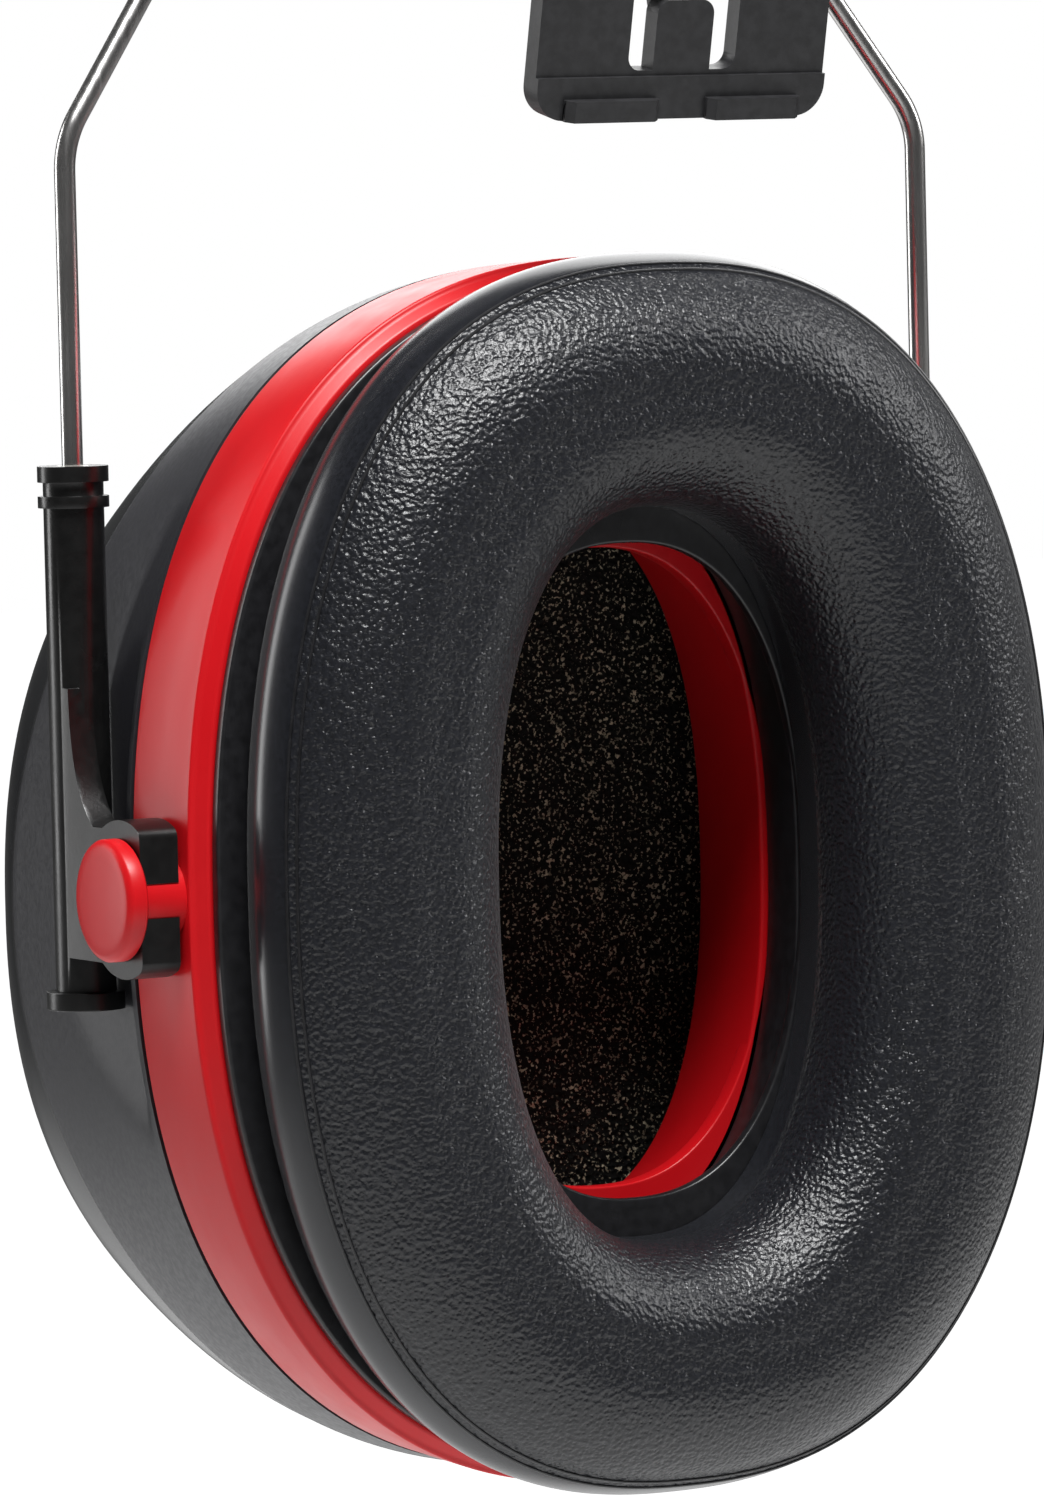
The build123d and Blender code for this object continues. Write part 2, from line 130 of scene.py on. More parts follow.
def new_object(name, verts, faces):
    """A mesh object at the origin with its normals outwards."""
    mesh = bpy.data.meshes.new(name)
    mesh.from_pydata([tuple(v) for v in verts], [], faces)
    mesh.validate()
    obj = bpy.data.objects.new(name, mesh)
    bpy.context.scene.collection.objects.link(obj)
    clean = bmesh.new()
    clean.from_mesh(mesh)
    bmesh.ops.remove_doubles(clean, verts=clean.verts, dist=1e-7)
    bmesh.ops.recalc_face_normals(clean, faces=clean.faces)
    clean.to_mesh(mesh)
    clean.free()
    return obj


def shade(obj, angle=SHARP_ANGLE):
    """Smooth shading with the sharp edges kept."""
    mesh = obj.data
    work = bmesh.new()
    work.from_mesh(mesh)
    for face in work.faces:
        face.smooth = True
    for edge in work.edges:
        edge.smooth = len(edge.link_faces) == 2 and edge.calc_face_angle(0) < angle
    work.to_mesh(mesh)
    work.free()
    return obj


def apply_modifiers(obj):
    """Bake the modifiers into the mesh."""
    depsgraph = bpy.context.evaluated_depsgraph_get()
    mesh = bpy.data.meshes.new_from_object(obj.evaluated_get(depsgraph))
    obj.modifiers.clear()
    obj.data = mesh
    return obj


def oval_point(a, b, t):
    """A point of the superellipse outline, evenly spread round the oval."""
    c = math.cos(t)
    s = math.sin(t)
    reach = (abs(c) ** OVAL_POWER + abs(s) ** OVAL_POWER) ** (-1 / OVAL_POWER)
    return a * c * reach, b * s * reach


def sweep_oval(name, rows, closed=True, count=OVAL_COUNT):
    """Rows of (a, b, depth from the rim) swept round the cup; closed joins the last row to the first."""
    verts = []
    for a, b, y in rows:
        for k in range(count):
            x, z = oval_point(a, b, 2 * math.pi * k / count)
            verts.append((x, RIM_Y + y, CUP_Z + z))
    faces = []
    spans = len(rows) if closed else len(rows) - 1
    for r in range(spans):
        for k in range(count):
            here = r * count
            there = ((r + 1) % len(rows)) * count
            n = (k + 1) % count
            faces.append((here + k, here + n, there + n, there + k))
    return new_object(name, verts, faces)


def rounded(points, radius, steps=4):
    """A closed 2-D profile with its corners rounded by short arcs."""
    result = []
    total = len(points)
    for i, point in enumerate(points):
        here = Vector(point)
        before = Vector(points[i - 1]) - here
        after = Vector(points[(i + 1) % total]) - here
        cut = min(radius, 0.45 * before.length, 0.45 * after.length)
        start = here + before.normalized() * cut
        end = here + after.normalized() * cut
        for step in range(steps + 1):
            u = step / steps
            result.append(start.lerp(here, u).lerp(here.lerp(end, u), u))
    return result


def ring_piece(name, a, b, profile, radius=0.25 * MM):
    """A ring whose profile holds (inset from the outline, depth from the rim) corners."""
    rows = [(a - p.x, b - p.x, p.y) for p in rounded(profile, radius)]
    return shade(sweep_oval(name, rows))


def lathe(name, profile, place, count=64):
    """A closed profile of (radius, height) turned about the local Z axis."""
    verts = []
    faces = []
    for radius, height in profile:
        for k in range(count):
            angle = 2 * math.pi * k / count
            verts.append(place @ Vector((radius * math.cos(angle), radius * math.sin(angle), height)))
    for r in range(len(profile)):
        for k in range(count):
            here = r * count
            there = ((r + 1) % len(profile)) * count
            n = (k + 1) % count
            faces.append((here + k, here + n, there + n, there + k))
    obj = new_object(name, verts, faces)
    work = bmesh.new()
    work.from_mesh(obj.data)
    bmesh.ops.dissolve_degenerate(work, edges=work.edges, dist=1e-7)
    bmesh.ops.recalc_face_normals(work, faces=work.faces)
    work.to_mesh(obj.data)
    work.free()
    return shade(obj)


def softened(node, width, segments=2):
    """A copy of a CAD node with its sharp edges rounded and its flats kept level, in place of the node."""
    source = frame["nodes"][node]
    obj = bpy.data.objects.new(node + "_body", source.data.copy())
    bpy.context.scene.collection.objects.link(obj)
    work = bmesh.new()
    work.from_mesh(obj.data)
    bmesh.ops.remove_doubles(work, verts=work.verts, dist=2e-6)
    bmesh.ops.dissolve_limit(work, angle_limit=math.radians(0.6), verts=work.verts, edges=work.edges)
    work.to_mesh(obj.data)
    work.free()
    bevel = obj.modifiers.new("edges", "BEVEL")
    bevel.width = width
    bevel.segments = segments
    bevel.limit_method = "ANGLE"
    bevel.angle_limit = SHARP_ANGLE
    bevel.use_clamp_overlap = True
    bevel.harden_normals = False
    apply_modifiers(obj)
    shade(obj, SOFT_ANGLE)
    level = obj.modifiers.new("flat_faces", "WEIGHTED_NORMAL")
    level.keep_sharp = True
    level.weight = 100
    apply_modifiers(obj)
    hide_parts(node)
    return obj


def finish_piece(obj, body, material, nodes=()):
    """Put a piece on its body, give it its material and hide the CAD nodes it stands in for."""
    obj.data.materials.clear()
    obj.data.materials.append(material)
    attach(obj, body)
    if nodes:
        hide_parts(*nodes)
    return obj


# Materials ------------------------------------------------------------------

class Nodes:
    """A principled material under construction."""

    def __init__(self, name, color, roughness, metallic=0.0, specular=0.5):
        self.material = bpy.data.materials.new(name)
        self.material.use_nodes = True
        self.tree = self.material.node_tree
        self.shader = self.tree.nodes["Principled BSDF"]
        self.shader.inputs["Base Color"].default_value = (*color, 1)
        self.shader.inputs["Roughness"].default_value = roughness
        self.shader.inputs["Metallic"].default_value = metallic
        self.shader.inputs["Specular IOR Level"].default_value = specular
        self.coords = self.tree.nodes.new("ShaderNodeTexCoord").outputs["Object"]

    def node(self, kind, **values):
        made = self.tree.nodes.new(kind)
        for key, value in values.items():
            setattr(made, key, value)
        return made

    def link(self, start, end):
        self.tree.links.new(start, end)

    def stretched(self, scale):
        """Coordinates scaled by a vector."""
        mapping = self.node("ShaderNodeMapping")
        mapping.inputs["Scale"].default_value = scale
        self.link(self.coords, mapping.inputs["Vector"])
        return mapping.outputs["Vector"]

    def noise(self, scale, detail=2.0, coords=None):
        made = self.node("ShaderNodeTexNoise")
        made.inputs["Scale"].default_value = scale
        made.inputs["Detail"].default_value = detail
        self.link(coords or self.coords, made.inputs["Vector"])
        return made.outputs["Fac"]

    def cells(self, scale, smooth=False):
        made = self.node("ShaderNodeTexVoronoi", feature="SMOOTH_F1" if smooth else "F1")
        made.inputs["Scale"].default_value = scale
        self.link(self.coords, made.inputs["Vector"])
        return made.outputs["Distance"]

    def ramp(self, value, low, high, start, end):
        """Map a value from [low, high] to [start, end]."""
        made = self.node("ShaderNodeMapRange")
        made.inputs["From Min"].default_value = low
        made.inputs["From Max"].default_value = high
        made.inputs["To Min"].default_value = start
        made.inputs["To Max"].default_value = end
        self.link(value, made.inputs["Value"])
        return made.outputs["Result"]

    def math(self, operation, first, second):
        made = self.node("ShaderNodeMath", operation=operation)
        for socket, value in zip(made.inputs, (first, second)):
            if isinstance(value, (int, float)):
                socket.default_value = value
            else:
                self.link(value, socket)
        return made.outputs["Value"]

    def colors(self, value, first, second):
        """Mix two colours by a value and send the result to the base colour."""
        made = self.node("ShaderNodeMix", data_type="RGBA")
        made.inputs["A"].default_value = (*first, 1)
        made.inputs["B"].default_value = (*second, 1)
        self.link(value, made.inputs["Factor"])
        self.link(made.outputs["Result"], self.shader.inputs["Base Color"])

    def roughness(self, value):
        self.link(value, self.shader.inputs["Roughness"])

    def bump(self, height, strength, distance):
        made = self.node("ShaderNodeBump")
        made.inputs["Strength"].default_value = strength
        made.inputs["Distance"].default_value = distance
        self.link(height, made.inputs["Height"])
        self.link(made.outputs["Normal"], self.shader.inputs["Normal"])


def moulded_black(name="moulded_black", color=(0.012, 0.012, 0.013), roughness=0.36, grain=0.25):
    """Black plastic with the fine spark texture of its mould."""
    mat = Nodes(name, color, roughness)
    fine = mat.noise(2600, 3)
    broad = mat.noise(60, 3)
    mat.roughness(mat.ramp(broad, 0.3, 0.7, roughness - 0.05, roughness + 0.07))
    lighter = tuple(1.7 * c for c in color)
    mat.colors(mat.ramp(mat.noise(900, 2), 0.35, 0.65, 0, 1), color, lighter)
    mat.bump(fine, grain, 0.05 * MM)
    return mat.material


def shell_plastic():
    """Satin side wall that turns glossy past the crease, following the dome's edge."""
    mat = Nodes("shell_plastic", (0.03, 0.03, 0.034), 0.3)
    attribute = mat.node("ShaderNodeAttribute", attribute_name="dome")
    mask = attribute.outputs["Fac"]
    satin = mat.ramp(mat.noise(1500, 2), 0.35, 0.65, 0.36, 0.44)
    gloss = mat.ramp(mat.noise(45, 2), 0.3, 0.7, 0.09, 0.14)
    blend = mat.node("ShaderNodeMix", data_type="FLOAT")
    mat.link(mask, blend.inputs["Factor"])
    mat.link(satin, blend.inputs["A"])
    mat.link(gloss, blend.inputs["B"])
    mat.roughness(blend.outputs["Result"])
    mat.colors(mask, (0.020, 0.020, 0.024), (0.008, 0.0085, 0.010))
    height = mat.math("MULTIPLY", mat.noise(3000, 2), mat.math("SUBTRACT", 1.0, mask))
    mat.bump(height, 0.22, 0.04 * MM)
    return mat.material


def red_plastic():
    """Pigmented red moulding, slightly uneven in gloss, with faint handling marks."""
    mat = Nodes("red_plastic", (0.50, 0.004, 0.008), 0.34, specular=0.3)
    clouds = mat.noise(35, 4)
    mat.colors(mat.ramp(clouds, 0.3, 0.7, 0, 1), (0.46, 0.003, 0.006), (0.54, 0.006, 0.010))
    marks = mat.noise(220, 4, mat.stretched((1, 1, 0.12)))
    mat.roughness(mat.ramp(marks, 0.3, 0.75, 0.30, 0.42))
    mat.bump(mat.noise(1800, 3), 0.12, 0.04 * MM)
    return mat.material


def leatherette():
    """Cushion cover: pebbled grain on the front panel, smooth skin on the walls."""
    mat = Nodes("leatherette", (0.02, 0.02, 0.023), 0.42)
    grained = mat.node("ShaderNodeAttribute", attribute_name="grained").outputs["Fac"]
    pebbles = mat.cells(2300, smooth=True)
    wrinkles = mat.noise(1900, 3)
    fine = mat.noise(4200, 2)
    height = mat.math("ADD", mat.math("MULTIPLY", pebbles, 1.1), mat.math("MULTIPLY", wrinkles, 0.9))
    height = mat.math("ADD", height, mat.math("MULTIPLY", fine, 0.25))
    mat.bump(mat.math("MULTIPLY", height, grained), 0.95, 0.16 * MM)
    rough = mat.ramp(mat.noise(2600, 2), 0.3, 0.7, 0.27, 0.38)
    blend = mat.node("ShaderNodeMix", data_type="FLOAT")
    mat.link(grained, blend.inputs["Factor"])
    blend.inputs["A"].default_value = 0.24
    mat.link(rough, blend.inputs["B"])
    mat.roughness(blend.outputs["Result"])
    mat.colors(mat.ramp(pebbles, 0.1, 0.6, 0, 1), (0.0045, 0.005, 0.0068), (0.009, 0.0098, 0.013))
    mat.shader.inputs["Sheen Weight"].default_value = 0.06
    mat.shader.inputs["Sheen Roughness"].default_value = 0.4
    return mat.material


def absorber_foam():
    """Black open-cell foam with tan specks."""
    mat = Nodes("absorber_foam", (0.012, 0.011, 0.010), 0.9, specular=0.2)
    cells = mat.cells(1700)
    specks = mat.math("MULTIPLY", mat.ramp(mat.noise(3000, 2), 0.58, 0.64, 0, 1),
                      mat.ramp(mat.noise(900, 2), 0.38, 0.55, 0.3, 1))
    mat.colors(specks, (0.006, 0.0055, 0.005), (0.55, 0.48, 0.34))
    mat.bump(mat.math("ADD", cells, mat.noise(1500, 3)), 0.9, 0.4 * MM)
    return mat.material


def drawn_steel(name="drawn_steel", roughness=0.24):
    """Stainless wire with fine draw lines along its length."""
    mat = Nodes(name, (0.60, 0.59, 0.58), roughness, metallic=1.0)
    lines = mat.noise(900, 3, mat.stretched((2.2, 2.2, 0.06)))
    mat.roughness(mat.ramp(lines, 0.3, 0.7, roughness - 0.03, roughness + 0.05))
    mat.colors(mat.ramp(mat.noise(70, 3), 0.3, 0.7, 0, 1), (0.52, 0.51, 0.50), (0.70, 0.69, 0.68))
    mat.bump(lines, 0.05, 0.02 * MM)
    return mat.material


def acetal():
    """Milky engineering plastic of the hidden sliding parts."""
    mat = Nodes("acetal", (0.70, 0.69, 0.65), 0.4)
    mat.colors(mat.ramp(mat.noise(300, 3), 0.3, 0.7, 0, 1), (0.66, 0.65, 0.60), (0.76, 0.75, 0.71))
    mat.bump(mat.noise(1500, 2), 0.1, 0.03 * MM)
    return mat.material


def seal_rubber():
    """Dull black gasket."""
    mat = Nodes("seal_rubber", (0.006, 0.006, 0.006), 0.7)
    mat.colors(mat.ramp(mat.noise(500, 3), 0.3, 0.7, 0, 1), (0.005, 0.005, 0.005), (0.010, 0.010, 0.010))
    mat.bump(mat.noise(2200, 2), 0.3, 0.05 * MM)
    return mat.material


# Cup pieces -----------------------------------------------------------------

def shell_point(t, y):
    """A point of the outer shell at an angle round the cup and a depth from the rim."""
    side = SHELL_A - WALL_DRAFT * y
    if y > WALL_DEPTH:
        reach = (y - WALL_DEPTH) / (SHELL_DEPTH - WALL_DEPTH)
        side *= math.sqrt(max(0, 1 - reach ** 2))
    height = SHELL_B * math.sqrt(max(0, 1 - (y / SHELL_DEPTH) ** 2.2))
    x, z = oval_point(side, height, t)
    return x, z - DOME_DROOP * y


def crease_depth(t):
    """Where the satin wall ends and the gloss dome begins: deep at the sides, shallow above and below."""
    return (2.0 + 31.0 * math.cos(t) ** 2) * MM


def relieved(x, y):
    """Flatten the wall beside the guide tubes, starting a short way behind the rim."""
    if y < RELIEF_START:
        return x
    return max(-RELIEF_X, min(RELIEF_X, x))


def make_outer_shell():
    """Deep shell with a fine step at the crease between its satin wall and gloss dome."""
    wall_rows = 30
    dome_rows = 60
    step_depth = 0.22 * MM
    rim = SEAL_HIGH.y - RIM_Y
    verts = []
    marks = []
    for row in range(wall_rows + dome_rows + 1):
        for k in range(OVAL_COUNT):
            t = 2 * math.pi * k / OVAL_COUNT
            crease = crease_depth(t)
            if row <= wall_rows:
                y = rim + (crease - rim) * row / wall_rows
            else:
                u = (row - wall_rows) / dome_rows
                y = crease + (SHELL_DEPTH - crease) * math.sin(0.5 * math.pi * u)
            x, z = shell_point(t, y)
            if row > wall_rows:
                shrink = 1 - step_depth / SHELL_A
                x *= shrink
                z *= shrink
            verts.append((relieved(x, y), RIM_Y + y, CUP_Z + z))
            marks.append(0.0 if row <= wall_rows else 1.0)
    faces = []
    for row in range(wall_rows + dome_rows):
        for k in range(OVAL_COUNT):
            n = (k + 1) % OVAL_COUNT
            here = row * OVAL_COUNT
            there = here + OVAL_COUNT
            faces.append((here + k, here + n, there + n, there + k))
    mesh = bpy.data.meshes.new("outer_shell_body")
    mesh.from_pydata(verts, [], faces)
    mask = mesh.attributes.new("dome", "FLOAT", "POINT")
    mask.data.foreach_set("value", marks)
    obj = bpy.data.objects.new("outer_shell_body", mesh)
    bpy.context.scene.collection.objects.link(obj)
    thick = obj.modifiers.new("wall", "SOLIDIFY")
    thick.thickness = 1.8 * MM
    thick.offset = -1
    work = bmesh.new()
    work.from_mesh(mesh)
    bmesh.ops.remove_doubles(work, verts=work.verts, dist=1e-7)
    bmesh.ops.recalc_face_normals(work, faces=work.faces)
    work.to_mesh(mesh)
    work.free()
    apply_modifiers(obj)
    return shade(obj, math.radians(50))


def make_stud_ring():
    """Red band with its head-side bevel, web and ear cavity wall."""
    band = ring_piece("stud_ring_band", SHELL_A, SHELL_B, [
        (0, 0), (RING_INSET, 0), (RING_INSET, -RING_DEPTH), (1.75 * MM, -RING_DEPTH),
        (0.85 * MM, -RING_DEPTH + 1.1 * MM), (0.35 * MM, -RING_DEPTH + 1.3 * MM)])
    for vertex in band.data.vertices:
        depth = (RIM_Y - vertex.co.y) / RING_DEPTH
        vertex.co.z = CUP_Z + (vertex.co.z - CUP_Z) * (1 + depth * (RING_B - SHELL_B + 0.8 * MM) / SHELL_B)
    web = ring_piece("stud_ring_web", WEB_A, WEB_B, [
        (0, -7 * MM), (WEB_REACH, -7 * MM), (WEB_REACH, -5 * MM), (0, -5 * MM)])
    rows = []
    section = [(0, COLLAR_FRONT), (COLLAR_WALL, COLLAR_FRONT), (COLLAR_WALL, COLLAR_BACK), (0, COLLAR_BACK)]
    for p in rounded(section, 0.4 * MM):
        rows.append((CAVITY_A + p.x, CAVITY_B + p.x, p.y))
    collar = shade(sweep_oval("stud_ring_collar", rows))
    return band, web, collar


def make_stud(side):
    """Pivot stud: shaft, round head with a bevelled rim and a faintly raised face."""
    start = Matrix.Translation((side * STUD_ROOT_X, STUD_Y, CUP_Z))
    place = start @ Matrix.Rotation(side * math.pi / 2, 4, "Y")
    shaft = 4.0 * MM
    head = 5.7 * MM
    head_low = 6.7 * MM
    tip = 8.9 * MM
    profile = [(0, 0), (shaft, 0), (shaft, head_low), (head - 0.2 * MM, head_low),
               (head, head_low + 0.2 * MM), (head, tip - 0.75 * MM),
               (head - 0.15 * MM, tip - 0.5 * MM), (head - 0.55 * MM, tip - 0.25 * MM)]
    for step in range(6, -1, -1):
        radius = (head - 0.75 * MM) * step / 6
        profile.append((radius, tip - 0.25 * MM * (radius / head) ** 2))
    side_name = "rear" if side > 0 else "front"
    return lathe(side_name + "_stud", profile, place, 72)


def make_cushion_base():
    """Plate edge between the ring and the cushion, with the sleeve that lines the opening."""
    plate = ring_piece("cushion_base_plate", PLATE_A, PLATE_B, [
        (0, PLATE_BACK), (PLATE_REACH, PLATE_BACK), (PLATE_REACH, PLATE_FRONT), (0, PLATE_FRONT)], 0.3 * MM)
    sleeve = ring_piece("cushion_base_sleeve", OPENING_A + SLEEVE_WALL, OPENING_B + SLEEVE_WALL, [
        (0, SLEEVE_FRONT), (SLEEVE_WALL, SLEEVE_FRONT), (SLEEVE_WALL, SLEEVE_BACK), (0, SLEEVE_BACK)],
        0.3 * MM)
    return plate, sleeve


def cushion_profile():
    """Rows (a, b, depth) of the plush ring: outer wall, seam, crowned front, lip and inner wall."""
    back = -13.15 * MM
    front = COVER_LOW.y - RIM_Y + 0.4 * MM
    keys = [(1.9, back), (0.75, back - 1.2 * MM), (0.1, -16.3 * MM), (0.0, -18.2 * MM), (0.7, -20.6 * MM),
            (1.6, -22.1 * MM), (3.4, -24.3 * MM), (6.3, -26.4 * MM), (9.8, -27.6 * MM), (13.3, front),
            (16.6, -27.5 * MM), (19.4, -26.3 * MM), (21.6, -24.4 * MM), (23.1, -22.2 * MM), (23.9, -19.8 * MM),
            (24.2, -17.0 * MM), (24.2, back)]
    rows = []
    last = len(keys) - 1
    spans_a = CUSHION_A - OPENING_A
    spans_b = CUSHION_B - OPENING_B
    steps = 5
    for i in range(last):
        p0, p1, p2, p3 = (Vector(keys[max(0, min(last, i + o))]) for o in (-1, 0, 1, 2))
        for step in range(steps):
            u = step / steps
            p = 0.5 * (2 * p1 + (p2 - p0) * u + (2 * p0 - 5 * p1 + 4 * p2 - p3) * u ** 2
                       + (3 * p1 - p0 - 3 * p2 + p3) * u ** 3)
            rows.append((p.x, p.y))
    rows.append(keys[-1])
    inner = keys[-1][0]
    return [(CUSHION_A - spans_a * d / inner, CUSHION_B - spans_b * d / inner, y) for d, y in rows]


def inflate(obj, pressure, limit):
    """Swell a remeshed copy of a cushion by cloth pressure and carry its shape back to the piece."""
    copy = bpy.data.objects.new("inflating", obj.data.copy())
    bpy.context.scene.collection.objects.link(copy)
    remesh = copy.modifiers.new("remesh", "REMESH")
    remesh.mode = "VOXEL"
    remesh.voxel_size = 4.0 * MM
    apply_modifiers(copy)
    start = [v.co.copy() for v in copy.data.vertices]
    cloth = copy.modifiers.new("cloth", "CLOTH")
    cloth.settings.use_pressure = True
    cloth.settings.uniform_pressure_force = pressure
    cloth.settings.effector_weights.gravity = 0
    cloth.settings.quality = 5
    cloth.settings.mass = 0.2
    cloth.point_cache.frame_start = 1
    cloth.point_cache.frame_end = 20
    scene = bpy.context.scene
    for step in range(1, 21):
        scene.frame_set(step)
    apply_modifiers(copy)
    for vertex, before in zip(copy.data.vertices, start):
        move = vertex.co - before
        if move.length > limit:
            vertex.co = before + move.normalized() * limit
    scene.frame_set(1)
    transfer(obj, copy, start, limit)
    bpy.data.objects.remove(copy)


def transfer(obj, swollen, start, limit):
    """Move a fine mesh by the movement of the nearest points of the swollen one."""
    tree = KDTree(len(start))
    for index, point in enumerate(start):
        tree.insert(point, index)
    tree.balance()
    moves = [v.co - p for v, p in zip(swollen.data.vertices, start)]
    reach = 9.0 * MM
    for vertex in obj.data.vertices:
        total = Vector()
        weight = 0.0
        for point, index, distance in tree.find_range(vertex.co, reach):
            share = (1 - distance / reach) ** 2
            total += moves[index] * share
            weight += share
        if weight:
            vertex.co += total / weight


def make_cushion():
    """Plush ring with a pinched seam at its outer edge and softly creased grain panel."""
    obj = sweep_oval("cushion_skin", cushion_profile(), closed=True)
    inflate(obj, CUSHION_PRESSURE, CUSHION_SWELL)
    mesh = obj.data
    seam_y = RIM_Y - 21.4 * MM
    marks = []
    for vertex in mesh.vertices:
        x = vertex.co.x
        z = vertex.co.z - CUP_Z
        middle = (abs(x / (0.5 * (CUSHION_A + OPENING_A))) ** OVAL_POWER
                  + abs(z / (0.5 * (CUSHION_B + OPENING_B))) ** OVAL_POWER) ** (1 / OVAL_POWER)
        outer = (seam_y - vertex.co.y) / (0.25 * MM)
        lip = (RIM_Y - 16.5 * MM - vertex.co.y) / (0.5 * MM)
        mark = outer if middle > 1 else lip
        marks.append(max(0.0, min(1.0, 0.5 + mark)))
    mask = mesh.attributes.new("grained", "FLOAT", "POINT")
    mask.data.foreach_set("value", marks)
    return shade(obj, math.radians(60))


def make_seam(name, inset, depth, radius):
    """A fine welded bead that follows the cushion's seam."""
    a = CUSHION_A - inset
    b = CUSHION_B - inset
    rows = []
    for step in range(8):
        angle = 2 * math.pi * step / 8
        out = radius * math.cos(angle)
        rows.append((a + out, b + out, depth + radius * math.sin(angle)))
    return shade(sweep_oval(name, rows))


def press_to(obj, target, lift):
    """Lay a bead on the surface of another piece."""
    work = bmesh.new()
    work.from_mesh(target.data)
    tree = BVHTree.FromBMesh(work)
    work.free()
    mesh = obj.data
    count = OVAL_COUNT
    rings = len(mesh.vertices) // count
    for k in range(count):
        ids = [r * count + k for r in range(rings)]
        centre = sum((mesh.vertices[i].co for i in ids), Vector()) / rings
        point, normal, _, _ = tree.find_nearest(centre)
        shift = point + normal * lift - centre
        for i in ids:
            mesh.vertices[i].co += shift


def make_foam():
    """Foam pad at the back of the cavity, softly dished, with a rough open-cell face."""
    a = FOAM_HIGH.x
    b = 0.5 * (FOAM_HIGH.z - FOAM_LOW.z)
    front = FOAM_LOW.y - RIM_Y
    back = FOAM_HIGH.y - RIM_Y
    rows = [(a - 2.6 * MM, b - 2.6 * MM, back)]
    rows += [(a - 0.5 * MM, b - 0.5 * MM, front + 2.5 * MM), (a - 1.2 * MM, b - 1.2 * MM, front + 0.8 * MM)]
    rings = 26
    for ring in range(rings):
        share = 1 - ring / rings
        dish = 2.0 * MM * (1 - share ** 2) ** 2
        rows.append(((a - 2 * MM) * share, (b - 2 * MM) * share, front + 0.3 * MM + dish))
    obj = sweep_oval("inner_foam", rows, closed=False)
    work = bmesh.new()
    work.from_mesh(obj.data)
    bmesh.ops.holes_fill(work, edges=[e for e in work.edges if e.is_boundary], sides=0)
    bmesh.ops.recalc_face_normals(work, faces=work.faces)
    work.to_mesh(obj.data)
    work.free()
    return shade(obj)


# Fork -----------------------------------------------------------------------

def fillet_path(points, radii, steps=14):
    """Straight runs joined by tangent arcs."""
    path = [points[0]]
    for i in range(1, len(points) - 1):
        here = points[i]
        before = (points[i - 1] - here).normalized()
        after = (points[i + 1] - here).normalized()
        half = 0.5 * before.angle(after)
        cut = radii[i - 1] / math.tan(half)
        centre = here + (before + after).normalized() * (radii[i - 1] / math.sin(half))
        start = here + before * cut - centre
        end = here + after * cut - centre
        turn = start.angle(end)
        for step in range(steps + 1):
            u = step / steps
            arm = (start * math.sin((1 - u) * turn) + end * math.sin(u * turn)) / math.sin(turn)
            path.append(centre + arm)
    path.append(points[-1])
    return path


def make_fork():
    """The bent steel wire as one round tube."""
    low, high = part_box("fork_wire")
    leg_x = high.x - WIRE_R
    leg_y = RIM_Y + LEG_DEPTH
    bend_z = CUP_Z + BEND_HEIGHT
    bar = Vector((0, high.y - WIRE_R, high.z - WIRE_R))
    points = [Vector((-leg_x, leg_y, low.z)), Vector((-leg_x, leg_y, bend_z)),
              Vector((-BAR_X, bar.y, bar.z)), Vector((BAR_X, bar.y, bar.z)),
              Vector((leg_x, leg_y, bend_z)), Vector((leg_x, leg_y, low.z))]
    path = fillet_path(points, [BEND_R, BAR_BEND_R, BAR_BEND_R, BEND_R])
    return tube("fork_wire_body", path, WIRE_R)


def tube(name, path, radius, count=24):
    """A capped round tube along a path."""
    verts = []
    faces = []
    up = Vector((0, 1, 0))
    for i, point in enumerate(path):
        ahead = path[min(i + 1, len(path) - 1)] - path[max(i - 1, 0)]
        ahead.normalize()
        side = ahead.cross(up).normalized()
        up = side.cross(ahead)
        for k in range(count):
            angle = 2 * math.pi * k / count
            verts.append(point + radius * (math.cos(angle) * side + math.sin(angle) * up))
    for i in range(len(path) - 1):
        for k in range(count):
            n = (k + 1) % count
            faces.append((i * count + k, i * count + n, (i + 1) * count + n, (i + 1) * count + k))
    faces.append(tuple(range(count)))
    faces.append(tuple(range(len(verts) - count, len(verts))))
    return shade(new_object(name, verts, faces))


# Stage ----------------------------------------------------------------------

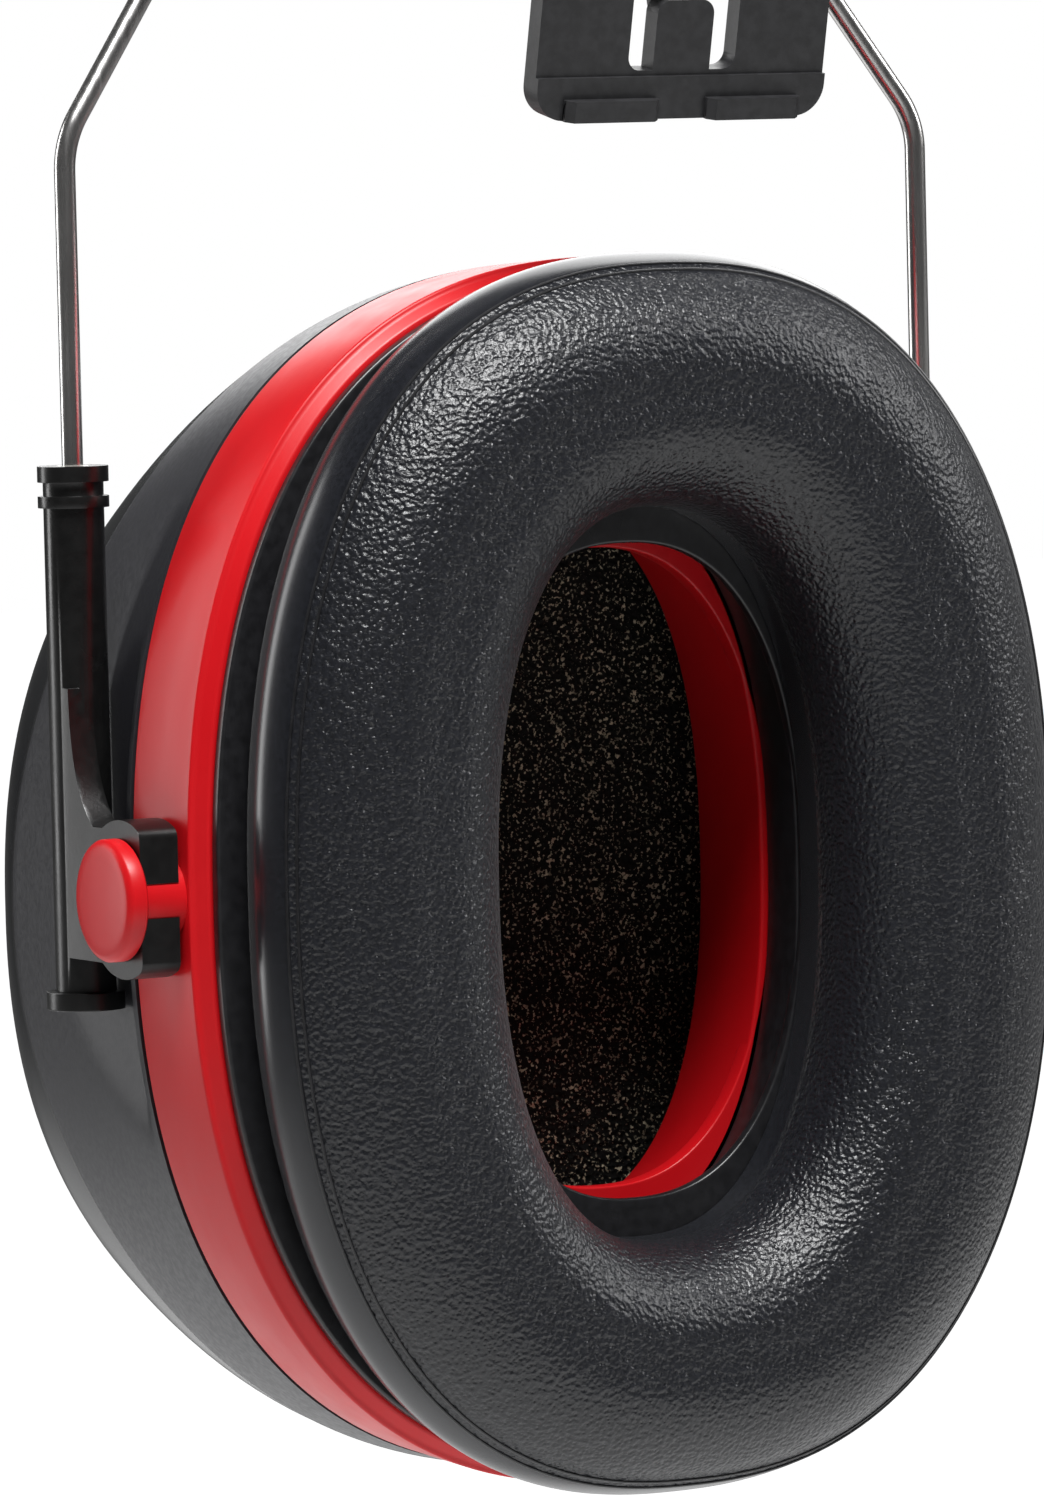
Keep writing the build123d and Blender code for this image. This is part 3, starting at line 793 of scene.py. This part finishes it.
def make_stage():
    """Pale floor, white surroundings and soft studio lights."""
    size = 6.0
    corners = [(-size, -size, 0), (size, -size, 0), (size, size, 0), (-size, size, 0)]
    floor = new_object("floor", corners, [(0, 1, 2, 3)])
    floor.location.z = -0.40
    paint = Nodes("floor_paint", (0.93, 0.93, 0.93), 0.9)
    paint.colors(paint.noise(3, 2), (0.92, 0.92, 0.92), (0.95, 0.95, 0.95))
    paint.shader.inputs["Emission Color"].default_value = (1, 1, 1, 1)
    seen_floor = paint.node("ShaderNodeLightPath").outputs["Is Camera Ray"]
    paint.link(seen_floor, paint.shader.inputs["Emission Strength"])
    floor.data.materials.append(paint.material)
    world = bpy.data.worlds.new("studio")
    bpy.context.scene.world = world
    world.use_nodes = True
    tree = world.node_tree
    surround = tree.nodes["Background"]
    surround.inputs["Color"].default_value = (1, 1, 1, 1)
    surround.inputs["Strength"].default_value = 0.07
    seen = tree.nodes.new("ShaderNodeBackground")
    seen.inputs["Color"].default_value = (1, 1, 1, 1)
    seen.inputs["Strength"].default_value = 1.0
    rays = tree.nodes.new("ShaderNodeLightPath")
    mix = tree.nodes.new("ShaderNodeMixShader")
    tree.links.new(rays.outputs["Is Camera Ray"], mix.inputs["Fac"])
    tree.links.new(surround.outputs["Background"], mix.inputs[1])
    tree.links.new(seen.outputs["Background"], mix.inputs[2])
    tree.links.new(mix.outputs["Shader"], tree.nodes["World Output"].inputs["Surface"])
    target = Vector((0, RIM_Y, CUP_Z + 10 * MM))
    add_light("key", target, -22, 64, 0.8, 0.42, 0.26, 12)
    add_light("right", target, 72, 28, 0.9, 0.3, 0.55, 3.6)
    add_light("left", target, -138, 10, 0.9, 0.22, 0.7, 2.4)
    add_light("back", target, 150, 30, 1.0, 0.7, 0.7, 5)


def add_light(name, target, azimuth, elevation, distance, width, height, watts):
    """A rectangular soft light aimed at the target."""
    a = math.radians(azimuth)
    e = math.radians(elevation)
    away = Vector((math.sin(a) * math.cos(e), -math.cos(a) * math.cos(e), math.sin(e)))
    data = bpy.data.lights.new(name, "AREA")
    data.shape = "RECTANGLE"
    data.size = width
    data.size_y = height
    data.energy = watts
    obj = bpy.data.objects.new(name, data)
    obj.location = target + away * distance
    obj.rotation_euler = away.to_track_quat("Z", "Y").to_euler()
    bpy.context.scene.collection.objects.link(obj)


def make_camera():
    """The viewing angle from the wearer's side, slightly above and from the front."""
    azimuth = math.radians(-30)
    elevation = math.radians(3.8)
    roll = math.radians(-1.36)
    distance = 0.9
    focal_px = 9450
    away = Vector((math.sin(azimuth) * math.cos(elevation), -math.cos(azimuth) * math.cos(elevation),
                   math.sin(elevation)))
    target = Vector((-4.1 * MM, RIM_Y, CUP_Z + 11.1 * MM))
    data = bpy.data.cameras.new("camera")
    data.sensor_width = 36
    data.lens = 36 * focal_px / 1500
    data.sensor_fit = "AUTO"
    data.clip_start = 0.05
    data.clip_end = 50
    obj = bpy.data.objects.new("camera", data)
    turn = away.to_track_quat("Z", "Y").to_matrix().to_4x4() @ Matrix.Rotation(roll, 4, "Z")
    obj.matrix_world = Matrix.Translation(target + away * distance) @ turn
    bpy.context.scene.collection.objects.link(obj)
    bpy.context.scene.camera = obj


# Assembly -------------------------------------------------------------------

def dress_nodes(names, material, width=None):
    """Give CAD nodes a material, as softened copies where a width is given."""
    for name in names:
        body = frame["nodes"][name]["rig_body"]
        if width is None:
            node = frame["nodes"][name]
            node.data.materials.clear()
            node.data.materials.append(material)
            shade(node)
        else:
            finish_piece(softened(name, width), body, material)


black = moulded_black()
guide_black = moulded_black("guide_black", (0.004, 0.004, 0.004), 0.28, 0.18)
inner_black = moulded_black("inner_black", (0.008, 0.008, 0.009), 0.30, 0.10)
steel = drawn_steel("plated_steel", 0.32)
red = red_plastic()
skin = leatherette()
rubber = seal_rubber()

make_camera()
make_stage()

finish_piece(make_outer_shell(), "cup", shell_plastic(), ["outer_shell"])
seal = ring_piece("seal_line", SHELL_A - 0.4 * MM, SHELL_B - 0.4 * MM, [
    (0, 0.02 * MM), (4.4 * MM, 0.02 * MM), (4.4 * MM, 0.63 * MM), (0, 0.63 * MM)], 0.1 * MM)
finish_piece(seal, "cup", rubber, ["shell_seal"])
ring_parts = [*make_stud_ring(), make_stud(-1), make_stud(1)]
finish_piece(ring_parts[0], "cup", red, ["stud_ring"])
for piece in ring_parts[1:]:
    finish_piece(piece, "cup", red)
base_parts = make_cushion_base()
finish_piece(base_parts[0], "cup", inner_black, ["cushion_base"])
finish_piece(base_parts[1], "cup", inner_black)
cushion = make_cushion()
finish_piece(cushion, "cup", skin, ["cushion_cover", "cushion_foam"])
seams = [("outer_seam", 1.2 * MM, -21.3 * MM), ("outer_seam_second", 1.75 * MM, -22.2 * MM)]
for name, inset, depth in seams:
    bead = make_seam(name, inset, depth, SEAM_RADIUS)
    press_to(bead, cushion, 0.02 * MM)
    finish_piece(bead, "cup", inner_black)
finish_piece(make_foam(), "cup", absorber_foam(), ["inner_absorber"])
finish_piece(make_fork(), "fork", drawn_steel(), ["fork_wire"])

dress_nodes(["adapter_blade", "bracket_body", "bracket_cover"], black, 0.35 * MM)
dress_nodes(["front_guide", "rear_guide", "front_guide_plug", "rear_guide_plug"], guide_black, 0.22 * MM)
dress_nodes(["swivel_pin", "cover_screws"], steel, 0.15 * MM)
dress_nodes(["retaining_ring", "spring_washer", "detent_spring", "shell_screws", "front_end_stop",
             "rear_end_stop"], steel)
dress_nodes(["inner_shell"], inner_black)
dress_nodes(["outer_absorber"], absorber_foam())
dress_nodes(["cam_sleeve", "front_guide_bush", "rear_guide_bush"], acetal())
bpy.context.scene.view_settings.view_transform = "Standard"
